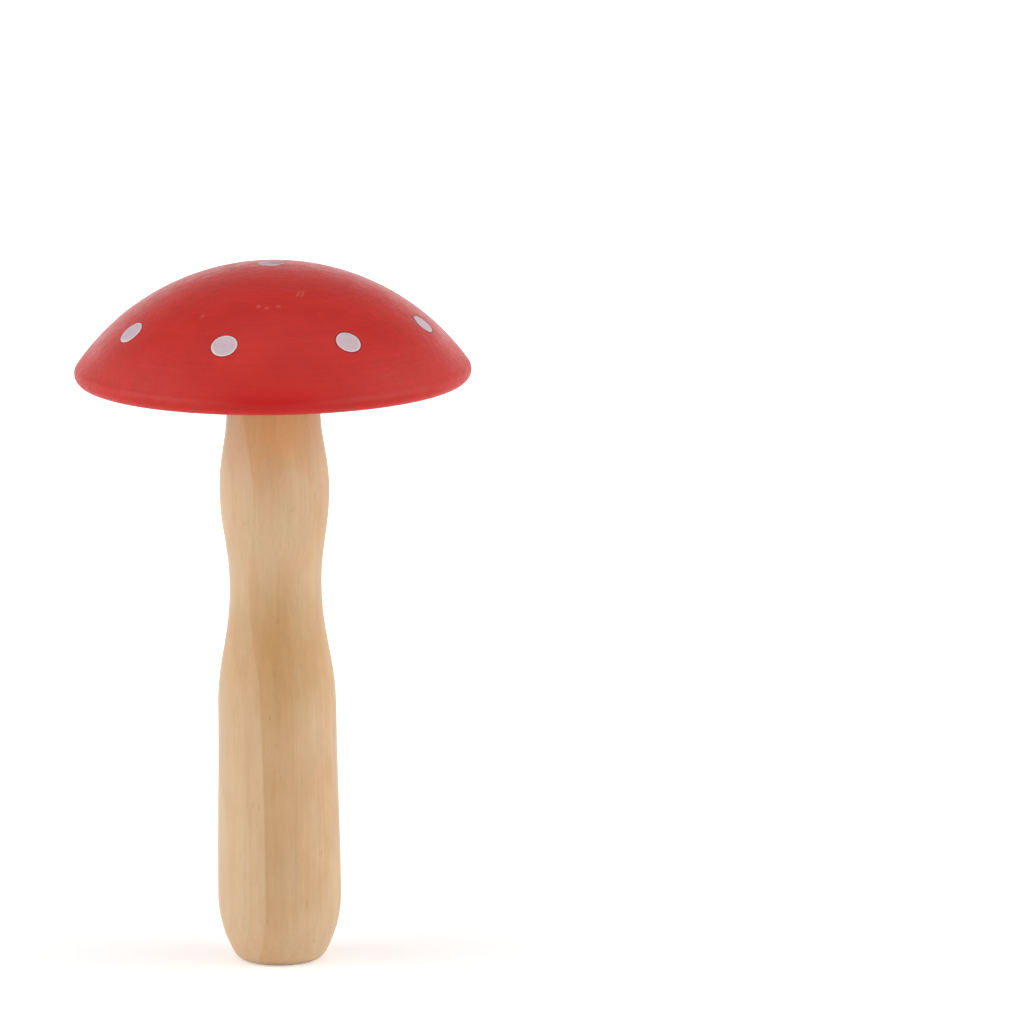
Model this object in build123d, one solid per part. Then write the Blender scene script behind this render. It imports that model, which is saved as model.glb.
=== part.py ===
from build123d import *
import math
import os

# A darning mushroom: a turned wooden handle, and a painted wooden cap that screws onto it.
# It stands on its foot at the origin, with +Z up through the crown of the cap.
# Every length is in millimetres and every angle is in degrees.

# Cap, a shallow dome with a tightly rounded rim and a flat underside
cap_diameter = 78.0
dome_height = 21.4
rim_round = 2.1

# Spots of paint on the dome, one at the crown and eight in a ring
dot_diameter = 5.2
dot_thickness = 0.12
dot_ring_inset = 8.6
ring_dot_angles = [-155, -108, -61, -14, 30, 74, 118, 162]

# Handle, with each drop measured down from its top face
handle_length = 116.0
neck_diameter = 18.4
neck_length = 5.0
neck_edge_round = 0.5
bulge_diameter = 21.6
bulge_drop = 21.3
waist_diameter = 18.1
waist_drop = 40.8
shoulder_diameter = 23.3
shoulder_drop = 65.5
grip_diameter = 24.3
foot_round_height = 13.3
foot_round_radius = 24.0
foot_edge_round = 3.0
swell_pull_share = 0.42

# Hanger bolt, a machine thread above the handle and a wood thread inside it
bolt_diameter = 6.0
bolt_projection = 10.0
bolt_end_length = 0.9
bolt_end_chamfer = 0.4
machine_pitch = 1.0
machine_thread_depth = 0.6
machine_flank_share = 0.3125
machine_crest_share = 0.125
bolt_collar_length = 2.5
wood_root_diameter = 4.2
wood_thread_length = 24.0
wood_pitch = 2.5
wood_flank_share = 0.2
wood_crest_share = 0.06
bolt_point_length = 4.0
thread_relief = 0.4
thread_sink = 0.1
pilot_end_gap = 2.0

# Threaded insert in the underside of the cap
insert_length = 10.0
insert_diameter = 9.0
insert_flange_diameter = 11.6
insert_flange_thickness = 0.9
insert_recess = 0.3
insert_mouth_chamfer = 0.6
barb_depth = 0.45
barb_count = 5
barb_neck_share = 0.4
bore_end_gap = 1.5

# Clearance all round every running fit
running_clearance = 0.05

# Places that follow from the sizes above
cap_radius = cap_diameter / 2
underside_height = handle_length
rim_height = underside_height + rim_round
crown_height = rim_height + dome_height
rim_centre_radius = cap_radius - rim_round
dome_radius = (dome_height**2 + rim_centre_radius**2 - rim_round**2) / (2 * (dome_height - rim_round))
dome_centre_height = crown_height - dome_radius
bolt_radius = bolt_diameter / 2
dot_ring_radius = cap_radius - dot_ring_inset
bolt_top = handle_length + bolt_projection
collar_bottom = handle_length - bolt_collar_length
wood_thread_bottom = collar_bottom - wood_thread_length
bolt_tip = wood_thread_bottom - bolt_point_length
insert_radius = insert_diameter / 2
insert_flange_radius = insert_flange_diameter / 2
insert_bottom = underside_height + insert_recess
insert_flange_top = insert_bottom + insert_flange_thickness
insert_top = insert_bottom + insert_length
bore_top = max(insert_top, bolt_top) + bore_end_gap
bolt_bore_radius = bolt_radius + running_clearance


def turned(*edges):
    """The solid that a closed outline of radius and height sweeps round the axis."""
    outline = make_face([Plane.XZ * edge for edge in edges])
    return revolve(outline, Axis.Z)


def turned_polygon(points):
    """The same for an outline of straight lines, closed from its last point to its first."""
    return turned(Polyline(*points, close=True))


def swell(upper, lower):
    """A smooth run between two points of the handle's side, along the axis at both ends."""
    pull = swell_pull_share * (upper[1] - lower[1])
    return Bezier(upper, (upper[0], upper[1] - pull), (lower[0], lower[1] + pull), lower)


def thread_ridge(root, crest, bottom, top, pitch, flank_share, crest_share):
    """Right-hand helical ridge, cut flat at both ends and sunk a little into its core."""
    tip = crest_share * pitch / 2
    base = tip + flank_share * pitch
    sunk = root - thread_sink
    past_crest = crest + thread_sink
    section = Plane.XZ * Polygon((sunk, -base), (crest, -tip), (crest, tip), (sunk, base), align=None)
    path = Helix(pitch, top - bottom + 2 * pitch, root)
    ridge = Pos(0, 0, bottom - pitch) * sweep(section, path, is_frenet=True)
    span = turned_polygon([(0, bottom), (past_crest, bottom), (past_crest, top), (0, top)])
    return ridge & span


def make_handle():
    """Turned handle: straight neck, bulge, waist, and a long grip with a rounded foot."""
    neck = neck_diameter / 2
    grip = grip_diameter / 2
    foot_edge = grip - foot_round_radius + math.sqrt(foot_round_radius**2 - foot_round_height**2)
    neck_top = (neck - neck_edge_round, handle_length)
    neck_side = (neck, handle_length - neck_edge_round)
    neck_foot = (neck, handle_length - neck_length)
    bulge = (bulge_diameter / 2, handle_length - bulge_drop)
    waist = (waist_diameter / 2, handle_length - waist_drop)
    shoulder = (shoulder_diameter / 2, handle_length - shoulder_drop)
    grip_side = (grip, foot_round_height)
    solid = turned(
        Line((0, 0), (0, handle_length)),
        Line((0, handle_length), neck_top),
        RadiusArc(neck_top, neck_side, neck_edge_round),
        Line(neck_side, neck_foot),
        swell(neck_foot, bulge),
        swell(bulge, waist),
        swell(waist, shoulder),
        swell(shoulder, grip_side),
        RadiusArc(grip_side, (foot_edge, 0), foot_round_radius),
        Line((foot_edge, 0), (0, 0)),
    )
    solid = fillet(solid.edges().sort_by(Axis.Z)[0], foot_edge_round)
    return solid - pilot_bore()


def pilot_bore():
    """Hole down the top of the handle: a mouth round the bolt's collar over a pilot for its core."""
    mouth = bolt_bore_radius
    pilot = wood_root_diameter / 2 + running_clearance
    pilot_bottom = bolt_tip - pilot_end_gap
    return turned_polygon([
        (0, pilot_bottom),
        (pilot, pilot_bottom + pilot),
        (pilot, collar_bottom),
        (mouth, collar_bottom),
        (mouth, handle_length),
        (0, handle_length),
    ])


def make_hanger_bolt():
    """Headless bolt: pointed wood thread, plain collar, machine thread and plain end, on one axis."""
    wood_root = wood_root_diameter / 2
    machine_root = bolt_radius - machine_thread_depth
    core = turned_polygon([
        (0, bolt_tip),
        (wood_root, wood_thread_bottom),
        (wood_root, collar_bottom),
        (bolt_radius, collar_bottom),
        (bolt_radius, handle_length),
        (machine_root, handle_length),
        (machine_root, bolt_top - bolt_end_chamfer),
        (machine_root - bolt_end_chamfer, bolt_top),
        (0, bolt_top),
    ])
    wood_thread = thread_ridge(
        wood_root, bolt_radius, wood_thread_bottom, collar_bottom - thread_relief,
        wood_pitch, wood_flank_share, wood_crest_share,
    )
    machine_thread = thread_ridge(
        machine_root, bolt_radius, handle_length + thread_relief, bolt_top - bolt_end_length,
        machine_pitch, machine_flank_share, machine_crest_share,
    )
    return core + wood_thread + machine_thread


def make_cap():
    """Turned dome with a rounded rim, bored from below for the insert and the bolt."""
    reach = dome_radius / (dome_radius - rim_round)
    crown = (0, crown_height)
    rim_top = (rim_centre_radius * reach, dome_centre_height + (rim_height - dome_centre_height) * reach)
    rim_side = (cap_radius, rim_height)
    rim_foot = (rim_centre_radius, underside_height)
    solid = turned(
        Line((0, underside_height), crown),
        RadiusArc(crown, rim_top, dome_radius),
        RadiusArc(rim_top, rim_side, rim_round),
        RadiusArc(rim_side, rim_foot, rim_round),
        Line(rim_foot, (0, underside_height)),
    )
    return solid - insert_bore()


def insert_bore():
    """Stepped hole up the underside of the cap, with room for the insert's flange and barbs."""
    flange = insert_flange_radius + running_clearance
    shank = insert_radius + running_clearance
    seat = insert_flange_top + running_clearance
    return turned_polygon([
        (0, underside_height),
        (flange, underside_height),
        (flange, seat),
        (shank, seat),
        (shank, bore_top),
        (0, bore_top),
    ])


def make_threaded_insert():
    """Flanged metal sleeve with barbs outside and a bore for the bolt inside."""
    barb_root = insert_radius - barb_depth
    barb_pitch = (insert_top - insert_flange_top) / (barb_count + barb_neck_share)
    first_barb = insert_flange_top + barb_neck_share * barb_pitch
    points = [
        (bolt_bore_radius + insert_mouth_chamfer, insert_bottom),
        (insert_flange_radius, insert_bottom),
        (insert_flange_radius, insert_flange_top),
        (barb_root, insert_flange_top),
        (barb_root, first_barb),
    ]
    for barb in range(barb_count):
        start = first_barb + barb * barb_pitch
        points.append((insert_radius, start))
        points.append((barb_root, start + barb_pitch))
    points.append((bolt_bore_radius, insert_top))
    points.append((bolt_bore_radius, insert_bottom + insert_mouth_chamfer))
    return turned_polygon(points)


def make_dot(lean, turn):
    """Thin round spot of paint on the dome, leaned off the crown and turned about the axis."""
    half_angle = math.degrees(math.asin(dot_diameter / 2 / dome_radius))
    outer_radius = dome_radius + dot_thickness
    inner_edge = Vector(0, dome_radius).rotate(Axis.Z, -half_angle)
    outer_edge = Vector(0, outer_radius).rotate(Axis.Z, -half_angle)
    spot = turned(
        RadiusArc((0, dome_radius), inner_edge, dome_radius),
        Line(inner_edge, outer_edge),
        RadiusArc((0, outer_radius), outer_edge, outer_radius),
        Line((0, outer_radius), (0, dome_radius)),
    )
    return Pos(0, 0, dome_centre_height) * Rot(0, 0, turn) * Rot(0, lean, 0) * spot


def make_dots():
    """One spot at the crown and one at each angle of the ring."""
    ring_lean = math.degrees(math.asin(dot_ring_radius / dome_radius))
    dots = {"crown_dot": make_dot(0, 0)}
    for number, angle in enumerate(ring_dot_angles, start=1):
        dots[f"ring_dot_{number}"] = make_dot(ring_lean, angle)
    return dots


os.makedirs("parts", exist_ok=True)
pieces = {
    "handle": make_handle(),
    "hanger_bolt": make_hanger_bolt(),
    "threaded_insert": make_threaded_insert(),
    "cap": make_cap(),
    **make_dots(),
}
for name, piece in pieces.items():
    export_step(piece, f"parts/{name}.step")
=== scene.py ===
import bpy
import bmesh
import functools
import math
from mathutils import Matrix, Vector


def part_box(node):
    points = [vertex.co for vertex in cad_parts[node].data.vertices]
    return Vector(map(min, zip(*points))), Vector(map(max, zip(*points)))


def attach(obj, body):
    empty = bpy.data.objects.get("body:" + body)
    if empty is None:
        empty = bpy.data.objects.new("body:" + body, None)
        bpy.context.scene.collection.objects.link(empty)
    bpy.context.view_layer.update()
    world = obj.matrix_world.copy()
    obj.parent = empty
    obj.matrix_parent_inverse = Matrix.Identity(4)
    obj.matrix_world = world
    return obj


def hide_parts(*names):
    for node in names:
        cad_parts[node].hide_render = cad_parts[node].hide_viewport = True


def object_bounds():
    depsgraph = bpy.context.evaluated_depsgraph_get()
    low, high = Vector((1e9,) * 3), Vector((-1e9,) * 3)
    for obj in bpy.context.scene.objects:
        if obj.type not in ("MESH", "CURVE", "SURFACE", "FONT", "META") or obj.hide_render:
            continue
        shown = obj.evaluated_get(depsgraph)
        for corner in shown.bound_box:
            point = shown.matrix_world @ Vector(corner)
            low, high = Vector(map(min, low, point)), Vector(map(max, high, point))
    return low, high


# The looks of a darning mushroom: clear satin birch under a red painted cap with white spots.
# Every length is in metres and every colour is linear, unless its name or comment says otherwise.

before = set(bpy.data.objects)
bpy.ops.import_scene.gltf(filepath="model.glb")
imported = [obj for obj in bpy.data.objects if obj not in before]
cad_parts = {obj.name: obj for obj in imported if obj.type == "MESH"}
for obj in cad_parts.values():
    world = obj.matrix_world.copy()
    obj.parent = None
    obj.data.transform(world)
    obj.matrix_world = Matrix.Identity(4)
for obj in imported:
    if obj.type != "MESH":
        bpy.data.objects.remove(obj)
cad_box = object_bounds()
mm = 0.001

# Shape of the cap, with its ends and its spots' size read from the frame
cap_low, cap_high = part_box("cap")
crown_low, crown_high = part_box("crown_dot")
spot_radius = (crown_high.x - crown_low.x) / 2
spot_nodes = ["crown_dot"] + [f"ring_dot_{number}" for number in range(1, 9)]
dome_radius = 47.03 * mm
dome_centre = Vector((0, 0, cap_high.z - dome_radius))
rim_round = 2.1 * mm
rim_height = cap_low.z + rim_round

# The photograph's frame and where its left view of the mushroom sits in it
photo_width_pixels = 1024
aim_pixel = (275.9, 604.3)
focal_pixels = 13270
camera_elevation = math.radians(11.31)
camera_roll = math.radians(0.75)
camera_distance = 2.613
camera_clip_end = 50
aim_height_share = 0.5107
sensor_width = 0.036

# Colours of the handle's wood; the dark, brown and orange ones also serve as painted shade
wood_pale = (0.690, 0.475, 0.275)
wood_body = (0.625, 0.400, 0.210)
wood_dark_and_shade = (0.560, 0.330, 0.150)
wood_pale_left = (0.690, 0.505, 0.330)
painted_shade_and_bounce_orange = (0.760, 0.405, 0.128)
wood_brown_and_shade = (0.540, 0.305, 0.110)
pore_color = (0.330, 0.170, 0.070)
warm_shares = (1.02, 0.98, 0.95)
cool_shares = (0.985, 1.005, 1.02)

# Growth rings, and the dark heart of the tree, off to the right of the handle; the heart's dark band is
# partly painted shade
pith_x = 55 * mm
pith_y = 12 * mm
pith_lean = 0.02
ring_spacing = 2.7 * mm
ring_tone_size = (3.1 * mm, 1.0, 1.0)
heart_edge = 62.3 * mm
heart_edge_blur = 0.5 * mm
heart_fade = 53 * mm
heart_fade_blur = 8 * mm

# Sizes of the wood's figure, the last of each three along the grain, and how far it bends and stands out
wander_size = (30 * mm, 30 * mm, 70 * mm)
wander_reach = 3.0 * mm
ripple_size = (4 * mm, 4 * mm, 30 * mm)
ripple_reach = 0.5 * mm
bend_size = (5 * mm, 5 * mm, 9 * mm)
bend_reach = (5 * mm, 5 * mm, 14 * mm)
fibre_size = (0.35 * mm, 0.35 * mm, 14 * mm)
fibre_relief = 0.018 * mm
streak_size = (1.3 * mm, 1.3 * mm, 45 * mm)
wood_cloud_size = (6 * mm, 6 * mm, 10 * mm)
hue_size = (7 * mm, 7 * mm, 13 * mm)
pore_size = (0.16 * mm, 0.16 * mm, 2.6 * mm)
dash_size = (0.7 * mm, 0.7 * mm, 3.5 * mm)
wave_size = (2.2 * mm, 2.2 * mm, 5 * mm)
wave_relief = 0.05 * mm

# Patches that are darker or paler than the rest of the wood, some of them painted shade
waist_patch = Vector((0, -9, 86)) * mm
waist_patch_reach = Vector((13, 12, 21)) * mm
foot_patch = Vector((0, -10, 5)) * mm
foot_patch_reach = Vector((14, 12, 12)) * mm
# Painted shade in a belt round the shoulders, which catch the side light
painted_shoulder_shade = Vector((0, 0, 64)) * mm
painted_shoulder_shade_reach = Vector((90, 90, 16)) * mm
# Painted shade and painted red light from the cap, on the neck just under it
painted_neck_shade = Vector((1, -9, 113.5)) * mm
painted_neck_shade_reach = Vector((15, 14, 20)) * mm
# A darker tone on the front of the shoulder, partly the wood's own and partly painted shade
shoulder_tone_and_shade = Vector((1.5, -11, 64)) * mm
shoulder_tone_and_shade_reach = Vector((11, 12, 22)) * mm

# Each patch with its reach, its strength and its colour, the last one on top; the neck's and the shoulder
# belt's are painted shade, the shoulder's is partly the wood's tone and partly painted shade
wood_patches = [
    (waist_patch, waist_patch_reach, 1.00, wood_pale),
    (foot_patch, foot_patch_reach, 0.55, wood_pale),
    (painted_shoulder_shade, painted_shoulder_shade_reach, 0.40, wood_brown_and_shade),
    (painted_neck_shade, painted_neck_shade_reach, 0.66, painted_shade_and_bounce_orange),
    (shoulder_tone_and_shade, shoulder_tone_and_shade_reach, 0.64, wood_brown_and_shade),
]

# A fine crack in the grip, which bends a little with the grain
check_line = [Vector((-7.2, -9.6, 49)) * mm, Vector((-7.2, -9.6, 45)) * mm]
check_width = 0.12 * mm
check_bend_shares = (0.1, 0.1, 0.0)

# Colours of the cap's paint
paint_red = (0.560, 0.015, 0.008)
paint_deep = (0.499, 0.011, 0.006)
paint_bright = (0.631, 0.024, 0.014)
painted_floor_light_red = (0.750, 0.014, 0.008)
outline_red = (0.230, 0.006, 0.008)
fleck_pink = (0.640, 0.180, 0.160)
crack_brown = (0.170, 0.013, 0.014)
scuffed_wood = (0.420, 0.150, 0.080)
least_roughness = 0.285

# Heights between which each part of the cap's paint comes in, at full strength from the second on
dome_heights = (rim_height, rim_height + 1 * mm)
# The rim's lower edge, where light from the floor below is painted in
painted_floor_light_heights = (rim_height - 0.3 * mm, cap_low.z + 0.4 * mm)
underside_heights = (cap_low.z + 0.35 * mm, cap_low.z + 0.15 * mm)
dull_belt_heights = (rim_height + 7 * mm, rim_height)

# Turning marks in the cap, as two parts of the direction round the axis and a width
turning_size = (0.9, 0.9, 0.45 * mm)
turning_relief = 0.006 * mm
underside_turning_relief = 0.02 * mm

# Sizes of the paint's unevenness, and how far it stands out
grain_size = (9 * mm, 0.7 * mm, 0.7 * mm)
brush_size = (9 * mm, 0.9 * mm, 0.9 * mm)
brush_relief = 0.02 * mm
paint_cloud_size = (12 * mm, 8 * mm, 8 * mm)
blotch_size = (3.2 * mm, 2.4 * mm, 2.4 * mm)
blotch_relief = 0.09 * mm
peel_size = (0.6 * mm, 0.6 * mm, 0.6 * mm)
peel_relief = 0.034 * mm

# The front of the rim, darkened to a purer red by painted shade, which stands in for the dark front that it
# would reflect
painted_front_shade = Vector((0, -38.5, 118.6)) * mm
painted_front_shade_reach = Vector((17, 6, 4.2)) * mm
painted_front_shade_shares = (0.96, 0.30, 0.35)

# Cracks, scratches and flecks, placed across the cap as seen from above, in millimetres
crack_lines = [
    ((-7.9, -4.2), (-7.2, 1.2)),
    ((-14.8, -3.5), (-7.8, -1.6)),
    ((-5.4, 4.3), (-4.1, 4.6)),
    ((-0.9, 6.8), (0.5, 7.1)),
    ((8.4, 3.5), (9.9, 3.8)),
]
scratch_lines = [
    ((-14.4, -4.3), (-9.2, -2.9)),
    ((4.9, -17.3), (5.4, -15.5)),
    ((5.8, -17.1), (6.2, -15.3)),
]
fleck_places = [
    (-13.5, -20.2),
    (-2.6, -20.8),
    (-1.0, -21.4),
    (1.2, -21.0),
    (11.0, 17.5),
    (-20.0, 9.0),
]
crack_width = 0.40 * mm
crack_depth = 0.03 * mm
crack_break_size = (1.1 * mm, 1.1 * mm, 1.1 * mm)
scratch_width = 0.28 * mm
fleck_reach = (0.75 * mm, 0.75 * mm, 0.75 * mm)
mark_wobble = 0.8 * mm
mark_wobble_size = (0.8 * mm, 0.8 * mm, 0.8 * mm)

# The ring that the handle's top has rubbed into the cap's underside
scuff_inner = 5.9 * mm
scuff_outer = 9.4 * mm
scuff_blur = 0.5 * mm

# Paint of the white spots, and the chip in the crown's
spot_white = (0.605, 0.470, 0.520)
spot_shade = (0.560, 0.430, 0.480)
spot_rim = (0.760, 0.650, 0.650)
worn_pink = (0.480, 0.150, 0.200)
worn_dark = (0.200, 0.018, 0.030)
spot_rim_width = 0.50 * mm
spot_outline_width = 0.35 * mm
spot_cloud_size = (1.6 * mm, 1.6 * mm, 1.6 * mm)
spot_peel_size = (0.35 * mm, 0.35 * mm, 0.35 * mm)
spot_relief = 0.012 * mm
rub_size = (2.2 * mm, 0.9 * mm, 1.0 * mm)
crown_chip = Vector((0, 0, cap_high.z)) + Vector((0.9, 0.3, 0)) * mm
crown_chip_reach = (3.2 * mm, 3.2 * mm, 3.2 * mm)

# Shape of the white spots, two of which are smaller than their nodes
smaller_spot_shares = {"ring_dot_3": 0.955, "ring_dot_4": 0.87}
spot_thickness = 0.06 * mm
spot_edge_round = 0.25 * mm
spot_oval_share = 0.008
spot_wave_share = 0.005
spot_sides = 96
spot_rings = 14

# Steel of the bolt, duller in the root of its thread
steel_dark = (0.56, 0.56, 0.54)
steel_bright = (0.68, 0.68, 0.67)
steel_root = (0.20, 0.19, 0.17)
steel_cloud_size = (2 * mm, 2 * mm, 2 * mm)
steel_mark_size = (0.5 * mm, 0.5 * mm, 0.06 * mm)
steel_relief = 0.008 * mm
thread_crest_radius = 2.9 * mm
thread_root_radius = 2.35 * mm

# Brass of the threaded insert, with its tool rings sized by radius and height
brass_dark = (0.66, 0.43, 0.15)
brass_bright = (0.76, 0.54, 0.24)
brass_tarnish = (0.30, 0.19, 0.08)
brass_cloud_size = (1.8 * mm, 1.8 * mm, 1.8 * mm)
tool_ring_size = (0.10 * mm, 0.10 * mm, 1.0)
tool_ring_relief = 0.006 * mm

# Strength of each wall of the light tent
tent_base = 0.395
tent_top_share = 0.77
tent_side = 2.10
tent_side_back = 0.44
tent_front = 0.14
tent_back = 0.86
tent_corner = 1.57
tent_white = (1.0, 1.0, 1.0)

# The softbox above, aimed at the mushroom's middle
softbox_place = Vector((0, -0.1, 0.9))
softbox_target = Vector((0, 0, 0.07))
softbox_size = (1.0, 0.7)
softbox_power = 1.3

# The floor, whose own light grows from near the mushroom to far from it
floor_size = 40
floor_gray = (0.92, 0.92, 0.92)
floor_near = 0.08
floor_far = 0.6
floor_light_near = 0.35
floor_light_far = 0.6

# The range that most of a noise's values lie in, and the share of a line's width that is solid
noise_low = 0.3
noise_high = 0.7
solid_share = 0.3


class Graph:
    """A node tree being built. An input takes a number, a colour, a vector or another node's output."""

    def __init__(self, tree):
        self.tree = tree
        tree.nodes.clear()

    def node(self, kind, inputs=None, **settings):
        made = self.tree.nodes.new(kind)
        for name, value in settings.items():
            setattr(made, name, value)
        for socket, value in (inputs or {}).items():
            self.plug(made.inputs[socket], value)
        return made

    def plug(self, socket, value):
        if isinstance(value, bpy.types.NodeSocket):
            self.tree.links.new(value, socket)
        elif socket.type == "RGBA":
            socket.default_value = (*value, 1)
        else:
            socket.default_value = value

    def math(self, operation, *values, clamp=False):
        made = self.node("ShaderNodeMath", dict(enumerate(values)), operation=operation, use_clamp=clamp)
        return made.outputs[0]

    def vector(self, operation, *values):
        made = self.node("ShaderNodeVectorMath", dict(enumerate(values)), operation=operation)
        scalar = operation in ("LENGTH", "DISTANCE", "DOT_PRODUCT")
        return made.outputs["Value" if scalar else "Vector"]

    def split(self, vector):
        return self.node("ShaderNodeSeparateXYZ", {0: vector}).outputs

    def join(self, x, y, z):
        return self.node("ShaderNodeCombineXYZ", {0: x, 1: y, 2: z}).outputs[0]

    def position(self):
        return self.node("ShaderNodeTexCoord").outputs["Object"]

    def flat(self, point):
        """The point moved straight up or down to height zero."""
        return self.vector("MULTIPLY", point, (1, 1, 0))

    def noise(self, vector, size, detail=2.0, roughness=0.5, output="Fac"):
        """Smooth noise from 0 to 1 whose features are about size = (x, y, z) long."""
        shares = self.vector("DIVIDE", vector, size)
        sockets = {"Vector": shares, "Scale": 1.0, "Detail": detail, "Roughness": roughness}
        return self.node("ShaderNodeTexNoise", sockets).outputs[output]

    def ramp(self, value, low, high, start=0.0, end=1.0):
        """Value's smooth step from start to end, as it goes from low to high."""
        sockets = {0: value, 1: low, 2: high, 3: start, 4: end}
        return self.node("ShaderNodeMapRange", sockets, interpolation_type="SMOOTHSTEP").outputs[0]

    def scale(self, value, low, high, start, end):
        """Value's straight run from start to end, as it goes from low to high."""
        return self.node("ShaderNodeMapRange", {0: value, 1: low, 2: high, 3: start, 4: end}).outputs[0]

    def spread(self, noise, start, end):
        """A noise's straight run from start to end over the range that most of its values lie in."""
        return self.scale(noise, noise_low, noise_high, start, end)

    def mix(self, factor, first, second, blend="MIX"):
        sockets = {0: factor, 6: first, 7: second}
        return self.node("ShaderNodeMix", sockets, data_type="RGBA", blend_type=blend).outputs[2]

    def tint(self, color, other, mask, strength):
        """The colour moved towards another one where a mask is, as far as the strength says."""
        return self.mix(self.math("MULTIPLY", mask, strength), color, other)

    def filter(self, color, shares):
        """The colour multiplied by another colour or by a number."""
        return self.mix(1.0, color, shares, blend="MULTIPLY")

    def bump(self, height, distance, normal=None):
        """The surface tilted by a height from 0 to 1 that stands for a distance in metres."""
        sockets = {"Height": height, "Distance": distance, "Strength": 1.0}
        if normal is not None:
            sockets["Normal"] = normal
        return self.node("ShaderNodeBump", sockets).outputs[0]

    def patch(self, point, centre, reach):
        """One at a centre, fading to nothing at reach = (x, y, z) away from it."""
        away = self.vector("DIVIDE", self.vector("SUBTRACT", point, centre), reach)
        return self.ramp(self.vector("LENGTH", away), 1.0, 0.1)

    def stroke(self, point, start, end, width):
        """One along the line from start to end, fading to nothing a width away from it."""
        line = end - start
        from_start = self.vector("SUBTRACT", point, start)
        along = self.vector("DOT_PRODUCT", from_start, line)
        share = self.math("DIVIDE", along, line.length_squared, clamp=True)
        away = self.vector("DISTANCE", from_start, self.vector("MULTIPLY", line, share))
        return self.ramp(away, width, solid_share * width)

    def most(self, values):
        """The greatest of some values."""
        return functools.reduce(lambda first, second: self.math("MAXIMUM", first, second), values)

    def least(self, values):
        """The smallest of some values."""
        return functools.reduce(lambda first, second: self.math("MINIMUM", first, second), values)

    def surface(self, **inputs):
        """The finished surface, with inputs named as on the Principled shader."""
        sockets = {name.replace("_", " "): value for name, value in inputs.items()}
        shader = self.node("ShaderNodeBsdfPrincipled", sockets)
        self.node("ShaderNodeOutputMaterial", {0: shader.outputs[0]})


def material(name):
    """A new material and its graph, which is g in each finish below, where p is the place on the object."""
    made = bpy.data.materials.new(name)
    made.use_nodes = True
    return made, Graph(made.node_tree)


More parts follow.
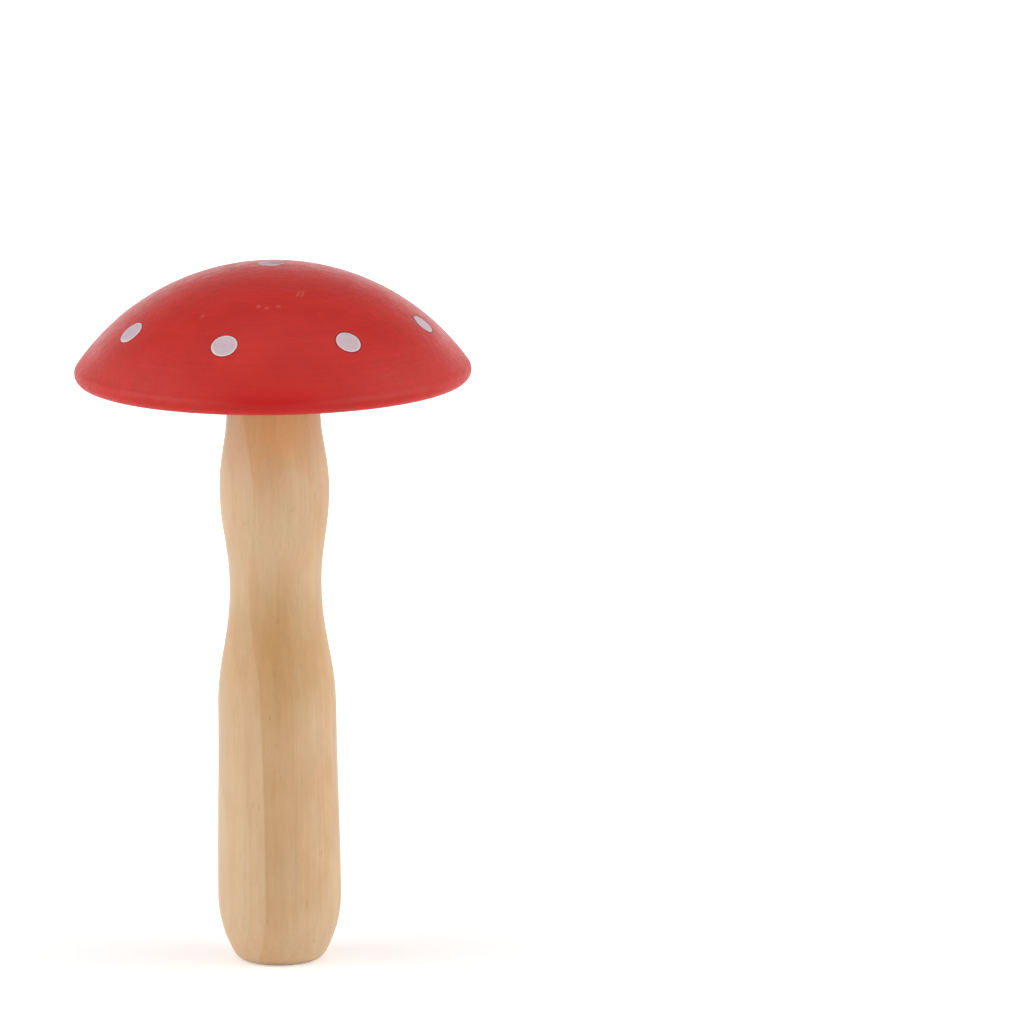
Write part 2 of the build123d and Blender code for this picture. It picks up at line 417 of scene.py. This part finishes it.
def clear_birch():
    """Birch under a clear satin finish, with its grain along the handle, and with shade and the cap's red
    light painted into it.
    """
    made, g = material("clear_birch")
    p = g.position()
    x, y, z = g.split(p)
    wander = g.math("SUBTRACT", g.noise(p, wander_size, detail=1), 0.5)
    ripple = g.math("SUBTRACT", g.noise(p, ripple_size), 0.5)
    drift = g.math("MULTIPLY_ADD", wander, wander_reach, g.math("MULTIPLY", ripple, ripple_reach))
    across = g.math("ADD", g.math("SUBTRACT", x, pith_x), g.math("MULTIPLY_ADD", z, pith_lean, drift))
    away = g.math("SUBTRACT", y, pith_y)
    from_pith = g.vector("LENGTH", g.join(across, away, 0.0))

    # Growth rings darken slowly outwards and end sharply
    ring = g.math("FRACT", g.math("DIVIDE", from_pith, ring_spacing))
    late = g.math("MULTIPLY", g.math("POWER", ring, 2.5), g.ramp(ring, 1.0, 0.9))
    ring_tone = g.noise(g.join(from_pith, 0.0, 0.0), ring_tone_size, detail=0)

    # A darker band with a crisp outer edge runs the length of the handle; it is partly heartwood and partly
    # painted shade down the handle's front
    inside = g.ramp(from_pith, heart_edge, heart_edge - heart_edge_blur)
    beyond_edge = g.math("SUBTRACT", 1.0, inside)
    heart_and_shade = g.math("MULTIPLY", inside, g.ramp(from_pith, heart_fade, heart_fade + heart_fade_blur))

    fibre = g.noise(p, fibre_size, detail=3, roughness=0.6)
    streak = g.noise(p, streak_size)
    cloud = g.noise(p, wood_cloud_size, detail=3)
    hue = g.noise(p, hue_size)
    pores = g.ramp(g.noise(p, pore_size, detail=1), 0.66, 0.74)
    dashes = g.ramp(g.noise(p, dash_size, detail=0), 0.80, 0.86)

    color = g.mix(g.ramp(cloud, noise_low, noise_high), wood_body, wood_pale)
    # Beyond the band's crisp edge, on the handle's left, the wood is paler
    color = g.tint(color, wood_pale_left, beyond_edge, 0.45)
    color = g.tint(color, wood_dark_and_shade, heart_and_shade, 0.6)
    color = g.tint(color, wood_dark_and_shade, late, 0.3)
    color = g.mix(g.scale(ring_tone, 0.35, 0.65, 0.0, 0.25), color, wood_body)

    # The patches have uneven edges, because their place wanders with the grain
    bend = g.vector("SUBTRACT", g.noise(p, bend_size, output="Color"), (0.5, 0.5, 0.5))
    shift = g.vector("MULTIPLY", bend, bend_reach)
    bent = g.vector("ADD", p, shift)
    for centre, reach, strength, shade in wood_patches:
        color = g.tint(color, shade, g.patch(bent, centre, reach), strength)

    color = g.filter(color, g.math("ADD", g.spread(fibre, 0.96, 1.03), g.spread(streak, -0.03, 0.03)))
    color = g.filter(color, g.mix(g.ramp(hue, noise_low, noise_high), warm_shares, cool_shares))

    # Pores, short dark dashes and the crack, each with its strength
    near_check = g.vector("ADD", p, g.vector("MULTIPLY", shift, check_bend_shares))
    check = g.stroke(near_check, *check_line, check_width)
    marks = [(pores, 0.22), (dashes, 0.28), (check, 0.4)]
    color = g.mix(g.most([g.math("MULTIPLY", *mark) for mark in marks]), color, pore_color)

    # End grain drinks more lacquer and is darker
    facing = g.split(g.node("ShaderNodeNewGeometry").outputs["Normal"])[2]
    end_grain = g.ramp(g.math("ABSOLUTE", facing), 0.55, 0.98)
    color = g.tint(color, wood_dark_and_shade, end_grain, 0.45)

    relief = g.math("SUBTRACT", g.math("MULTIPLY", fibre, 0.5), g.math("MULTIPLY", pores, 0.6))
    normal = g.bump(relief, fibre_relief)
    normal = g.bump(g.noise(p, wave_size, detail=1), wave_relief, normal)
    rough = g.math("ADD", g.spread(fibre, 0.42, 0.50), g.spread(cloud, -0.03, 0.03))
    g.surface(Base_Color=color, Roughness=rough, Normal=normal, Specular_IOR_Level=0.35, Sheen_Weight=0.08)
    return made


def steel():
    """Zinc-plated steel with fine marks round its axis."""
    made, g = material("zinc_plated_steel")
    p = g.position()
    radius = g.vector("LENGTH", g.flat(p))
    root = g.ramp(radius, thread_crest_radius, thread_root_radius)
    fine_marks = g.noise(p, steel_mark_size)
    cloud = g.noise(p, steel_cloud_size, detail=3)
    color = g.tint(g.mix(cloud, steel_dark, steel_bright), steel_root, root, 0.55)
    rough = g.math("ADD", g.spread(fine_marks, 0.29, 0.38), g.math("MULTIPLY", root, 0.15))
    normal = g.bump(fine_marks, steel_relief)
    g.surface(Base_Color=color, Metallic=1.0, Roughness=rough, Normal=normal)
    return made


def brass():
    """Turned brass with fine tool rings and a little tarnish."""
    made, g = material("turned_brass")
    p = g.position()
    radius = g.vector("LENGTH", g.flat(p))
    height = g.split(p)[2]
    rings = g.noise(g.join(radius, height, 0.0), tool_ring_size, detail=1)
    cloud = g.noise(p, brass_cloud_size, detail=3)
    color = g.mix(cloud, brass_dark, brass_bright)
    color = g.mix(g.ramp(cloud, 0.6, 0.75, 0.0, 0.4), color, brass_tarnish)
    rough = g.spread(cloud, 0.29, 0.40)
    g.surface(Base_Color=color, Metallic=1.0, Roughness=rough, Normal=g.bump(rings, tool_ring_relief))
    return made


def mesh_middle(obj):
    """The mean of the points of an object's mesh."""
    corners = [vertex.co for vertex in obj.data.vertices]
    return sum(corners, Vector()) / len(corners)


def nearest_spot(g, p):
    """The distance to the middle of the nearest paint spot."""
    middles = [mesh_middle(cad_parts[node]) for node in spot_nodes]
    return g.least([g.vector("DISTANCE", p, middle) for middle in middles])


def flat_place(place):
    """A mark's place in metres from its place across the cap in millimetres."""
    return Vector((*place, 0)) * mm


def strokes(g, point, lines, width):
    """One along each of some lines across the cap, whose ends are in millimetres."""
    return g.most([g.stroke(point, *map(flat_place, ends), width) for ends in lines])


def red_paint():
    """Satin red paint with turning marks, small marks of wear and a dark line round each spot, and with
    painted light on the rim's lower edge and painted shade on its front.
    """
    made, g = material("satin_red_paint")
    p = g.position()
    height = g.split(p)[2]
    flat = g.flat(p)
    radius = g.vector("LENGTH", flat)
    direction = g.split(g.vector("NORMALIZE", flat))
    on_dome = g.ramp(height, *dome_heights)
    on_underside = g.ramp(height, *underside_heights)
    painted_floor_light_band = g.math("SUBTRACT", g.ramp(height, *painted_floor_light_heights), on_underside)

    turning = g.noise(g.join(direction[0], direction[1], radius), turning_size)
    grain = g.noise(p, grain_size, detail=3, roughness=0.6)
    cloud = g.noise(p, paint_cloud_size, detail=3)
    blotch = g.noise(p, blotch_size)
    peel = g.noise(p, peel_size, detail=1)

    color = g.mix(g.ramp(cloud, noise_low, noise_high), paint_deep, paint_red)
    color = g.mix(g.scale(turning, 0.4, 0.75, 0.0, 0.35), color, paint_bright)
    color = g.mix(g.scale(grain, 0.45, 0.8, 0.0, 0.25), color, paint_deep)
    color = g.mix(g.ramp(blotch, 0.5, 0.75, 0.0, 0.18), color, paint_bright)
    # Painted light: the rim's lower edge is brightened as if lit from the floor below
    color = g.tint(color, painted_floor_light_red, painted_floor_light_band, 0.75)
    # Painted shade on the front of the rim
    front_in_shade = g.filter(color, painted_front_shade_shares)
    color = g.mix(g.patch(p, painted_front_shade, painted_front_shade_reach), color, front_in_shade)

    # A fine darker line goes round each spot
    line_end = spot_radius + spot_outline_width
    line_solid = spot_radius + solid_share * spot_outline_width
    line = g.ramp(nearest_spot(g, p), line_end, line_solid)
    color = g.tint(color, outline_red, line, 0.75)

    # Scratches, pale flecks and cracks all have slightly wandering edges
    wobble = g.math("SUBTRACT", g.noise(p, mark_wobble_size), 0.5)
    wobble = g.math("MULTIPLY", wobble, mark_wobble)
    wandering = g.vector("ADD", flat, g.join(wobble, wobble, 0.0))
    scratches = strokes(g, wandering, scratch_lines, scratch_width)
    flecks = g.most([g.patch(wandering, flat_place(place), fleck_reach) for place in fleck_places])
    pale_marks = g.math("MAXIMUM", scratches, flecks)
    color = g.tint(color, fleck_pink, pale_marks, g.math("MULTIPLY", on_dome, 0.34))
    unbroken = g.ramp(g.noise(p, crack_break_size), 0.35, 0.65, 0.15, 0.75)
    cracks = strokes(g, wandering, crack_lines, crack_width)
    cracks = g.math("MULTIPLY", cracks, g.math("MULTIPLY", on_dome, unbroken))
    color = g.mix(cracks, color, crack_brown)

    # The handle's top has rubbed a dull ring into the underside
    past_inner = g.ramp(radius, scuff_inner - scuff_blur, scuff_inner)
    within_outer = g.ramp(radius, scuff_outer + scuff_blur, scuff_outer)
    ring = g.math("MULTIPLY", g.math("MULTIPLY", past_inner, within_outer), on_underside)
    scuff = g.math("MULTIPLY", ring, g.ramp(turning, 0.35, 0.65, 0.25, 0.8))
    color = g.mix(scuff, color, scuffed_wood)

    normal = g.bump(g.noise(p, brush_size, detail=1), brush_relief)
    normal = g.bump(blotch, blotch_relief, normal)
    normal = g.bump(peel, peel_relief, normal)
    turning_depth = g.math("MULTIPLY_ADD", on_underside, underside_turning_relief, turning_relief)
    normal = g.bump(turning, turning_depth, normal)
    normal = g.bump(cracks, -crack_depth, normal)
    rough = g.math("ADD", g.spread(peel, 0.29, 0.39), g.spread(grain, -0.03, 0.04))
    wear = g.math("ADD", g.math("MULTIPLY", scuff, 0.25), g.spread(blotch, -0.04, 0.05))
    rough = g.math("ADD", rough, wear)
    rough = g.math("ADD", rough, g.ramp(height, *dull_belt_heights, 0.0, 0.16))
    rough = g.math("MAXIMUM", rough, least_roughness)
    g.surface(Base_Color=color, Roughness=rough, Normal=normal, Specular_IOR_Level=0.34,
              Sheen_Weight=0.06, Sheen_Roughness=0.35)
    return made


def white_paint(name, wear):
    """White paint over red, with wear from 0 for fresh to 1 for half gone."""
    made, g = material(name)
    p = g.position()
    cloud = g.noise(p, spot_cloud_size, detail=3)
    peel = g.noise(p, spot_peel_size)
    rub = g.noise(p, rub_size, detail=3)
    rim_start = spot_radius - spot_rim_width
    rim_solid = spot_radius - solid_share * spot_rim_width
    rim = g.ramp(nearest_spot(g, p), rim_start, rim_solid)
    color = g.mix(g.ramp(cloud, noise_low, noise_high), spot_shade, spot_white)
    color = g.tint(color, spot_rim, rim, 0.9 - 0.4 * wear)
    color = g.mix(g.scale(rub, 0.33, 0.63, 0.0, 0.6 * wear), color, worn_pink)

    # Thin paint lets the red through, most of all at the crown's chip
    chip = g.math("MULTIPLY", g.patch(p, crown_chip, crown_chip_reach), wear)
    rubbed = g.math("ADD", rub, g.math("MULTIPLY", chip, 0.35))
    thin = g.ramp(rubbed, 0.72 - 0.16 * wear, 0.80 - 0.10 * wear)
    color = g.tint(color, worn_pink, thin, 0.85)
    deep = g.ramp(g.math("ADD", cloud, g.math("MULTIPLY", chip, 0.25)), 0.76, 0.82)
    color = g.tint(color, worn_dark, deep, 0.8)

    normal = g.bump(g.math("SUBTRACT", peel, thin), spot_relief)
    rough = g.spread(peel, 0.36, 0.48)
    g.surface(Base_Color=color, Roughness=rough, Normal=normal, Specular_IOR_Level=0.37)
    return made


def pale_floor():
    """A pale matt floor whose own light only the camera, reflections and clear things see."""
    made, g = material("pale_floor")
    radius = g.vector("LENGTH", g.flat(g.position()))
    light = g.ramp(radius, floor_near, floor_far, floor_light_near, floor_light_far)
    ray = g.node("ShaderNodeLightPath").outputs
    seen = g.most([ray["Is Camera Ray"], ray["Is Glossy Ray"], ray["Is Transmission Ray"]])
    diffuse = g.node("ShaderNodeBsdfDiffuse", {"Color": floor_gray})
    glow = g.node("ShaderNodeEmission", {"Color": (1, 1, 1), "Strength": g.math("MULTIPLY", light, seen)})
    both = g.node("ShaderNodeAddShader", {0: diffuse.outputs[0], 1: glow.outputs[0]})
    g.node("ShaderNodeOutputMaterial", {0: both.outputs[0]})
    return made


def dome_point(height, lean, angle):
    """The point at a height over the dome, leaned off +Z and turned about it, from the dome's centre."""
    out = dome_radius + height
    across = out * math.sin(lean)
    return (across * math.cos(angle), across * math.sin(angle), out * math.cos(lean))


def spot_rows(mesh, size, seed):
    """Rings of points over a drop of paint, out to its rounded and slightly uneven edge."""
    rows = []
    for ring in range(1, spot_rings + 1):
        row = []
        for side in range(spot_sides):
            angle = 2 * math.pi * side / spot_sides
            oval = spot_oval_share * math.sin(2 * angle + seed)
            wave = spot_wave_share * math.sin(5 * angle + 2 * seed)
            uneven = 1 + oval + wave
            reach = size * (ring / spot_rings) * uneven
            edge = max(0.0, reach - (size * uneven - spot_edge_round)) / spot_edge_round
            height = spot_thickness * math.sqrt(max(0.0, 1 - edge * edge))
            row.append(mesh.verts.new(dome_point(height, reach / dome_radius, angle)))
        rows.append(row)
    return rows


def make_spot(name, node, paint):
    """A closed drop of paint on the dome where the CAD node is, sunk a little into the cap."""
    mesh = bmesh.new()
    seed = sum(map(ord, name))
    rows = spot_rows(mesh, spot_radius * smaller_spot_shares.get(node, 1.0), seed)
    top = mesh.verts.new(dome_point(spot_thickness, 0, 0))
    base = mesh.verts.new(dome_point(-spot_thickness, 0, 0))
    sunk_radius = dome_radius - spot_thickness
    under = [mesh.verts.new(vertex.co * (sunk_radius / vertex.co.length)) for vertex in rows[-1]]
    for side in range(spot_sides):
        after = (side + 1) % spot_sides
        mesh.faces.new((top, rows[0][side], rows[0][after]))
        for inner, outer in zip(rows, rows[1:]):
            mesh.faces.new((inner[side], outer[side], outer[after], inner[after]))
        mesh.faces.new((rows[-1][side], under[side], under[after], rows[-1][after]))
        mesh.faces.new((base, under[after], under[side]))
    for face in mesh.faces:
        face.smooth = True
    data = bpy.data.meshes.new(name)
    mesh.to_mesh(data)
    mesh.free()
    up = (mesh_middle(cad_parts[node]) - dome_centre).normalized()
    turn = Vector((0, 0, 1)).rotation_difference(up).to_matrix().to_4x4()
    data.transform(Matrix.Translation(dome_centre) @ turn)
    data.materials.append(paint)
    spot = bpy.data.objects.new(name, data)
    bpy.context.scene.collection.objects.link(spot)
    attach(spot, "cap")
    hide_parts(node)


def dress(node, finish):
    """Gives a CAD node its finish."""
    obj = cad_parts[node]
    obj.data.materials.clear()
    obj.data.materials.append(finish)


def add_softbox():
    """A wide lamp above, which the camera can't see."""
    lamp = bpy.data.lights.new("overhead_softbox", "AREA")
    lamp.shape = "RECTANGLE"
    lamp.size, lamp.size_y = softbox_size
    lamp.energy = softbox_power
    softbox = bpy.data.objects.new("overhead_softbox", lamp)
    bpy.context.scene.collection.objects.link(softbox)
    softbox.location = softbox_place
    softbox.rotation_euler = (softbox_target - softbox_place).to_track_quat("-Z", "Y").to_euler()
    softbox.visible_camera = False


def add_world():
    """A light tent, white to the camera, whose walls shine by other amounts and are dim round the camera."""
    world = bpy.data.worlds.new("light_tent")
    world.use_nodes = True
    bpy.context.scene.world = world
    g = Graph(world.node_tree)

    # Each wall is a range of directions, given by parts that run from -1 to 1, with the camera towards -Y
    x, y, z = g.split(g.node("ShaderNodeTexCoord").outputs["Generated"])
    aside = g.math("ABSOLUTE", x)
    beside = g.ramp(aside, 0.5, 0.85)
    behind = g.ramp(y, 0.05, 0.45)
    ahead = g.ramp(y, -0.6, -0.9)
    low_back = g.math("MULTIPLY", g.ramp(y, 0.3, 0.8), g.ramp(z, 0.4, 0.1))
    corner = g.math("MULTIPLY", g.ramp(aside, 0.3, 0.5), g.ramp(aside, 0.9, 0.7))
    corner = g.math("MULTIPLY", corner, g.ramp(y, -0.1, -0.5))
    low_corner = g.math("MULTIPLY", corner, g.ramp(z, 0.55, 0.2))
    walls = [
        (tent_side, g.math("MULTIPLY", beside, g.math("SUBTRACT", 1.0, behind))),
        (tent_side_back, g.math("MULTIPLY", beside, behind)),
        (tent_front, ahead),
        (tent_back, low_back),
        (tent_corner, low_corner),
    ]
    level = g.math("MULTIPLY", tent_base, g.ramp(z, 0.4, 0.7, 1.0, tent_top_share))
    level = g.math("MULTIPLY", level, g.math("SUBTRACT", 1.0, ahead))
    for strength, where in walls:
        level = g.math("MULTIPLY_ADD", where, strength, level)
    seen = g.node("ShaderNodeLightPath").outputs["Is Camera Ray"]
    light = g.mix(seen, g.join(level, level, level), tent_white)
    background = g.node("ShaderNodeBackground", {"Color": light, "Strength": 1.0})
    g.node("ShaderNodeOutputWorld", {0: background.outputs[0]})


def add_floor():
    bpy.ops.mesh.primitive_plane_add(size=floor_size, location=(0, 0, cad_box[0].z))
    floor = bpy.context.object
    floor.name = "floor"
    floor.data.materials.append(pale_floor())


def add_camera():
    """The photograph's camera, aimed so that a point on the axis lands on its pixel."""
    data = bpy.data.cameras.new("camera")
    data.sensor_width = sensor_width / mm
    data.lens = data.sensor_width * focal_pixels / photo_width_pixels
    data.clip_end = camera_clip_end
    camera = bpy.data.objects.new("camera", data)
    bpy.context.scene.collection.objects.link(camera)
    back = Vector((0, -math.cos(camera_elevation), math.sin(camera_elevation)))
    aim = Vector((0, 0, aim_height_share * cad_box[1].z))
    level = back.to_track_quat("Z", "Y").to_matrix()
    middle = photo_width_pixels / 2
    ray = Vector(((aim_pixel[0] - middle) / focal_pixels, (middle - aim_pixel[1]) / focal_pixels, -1))
    swing = ray.rotation_difference(Vector((0, 0, -1))).to_matrix()
    roll = Matrix.Rotation(-camera_roll, 3, "Z")
    camera.matrix_world = Matrix.Translation(aim + camera_distance * back) @ (level @ roll @ swing).to_4x4()
    bpy.context.scene.camera = camera


dress("handle", clear_birch())
dress("hanger_bolt", steel())
dress("threaded_insert", brass())
dress("cap", red_paint())
fresh = white_paint("white_paint_spots", 0.0)
worn = white_paint("white_paint_worn", 1.0)
for node in spot_nodes:
    make_spot(node + "_paint", node, worn if node == "crown_dot" else fresh)

add_floor()
add_world()
add_softbox()
add_camera()

bpy.context.scene.view_settings.view_transform = "Standard"
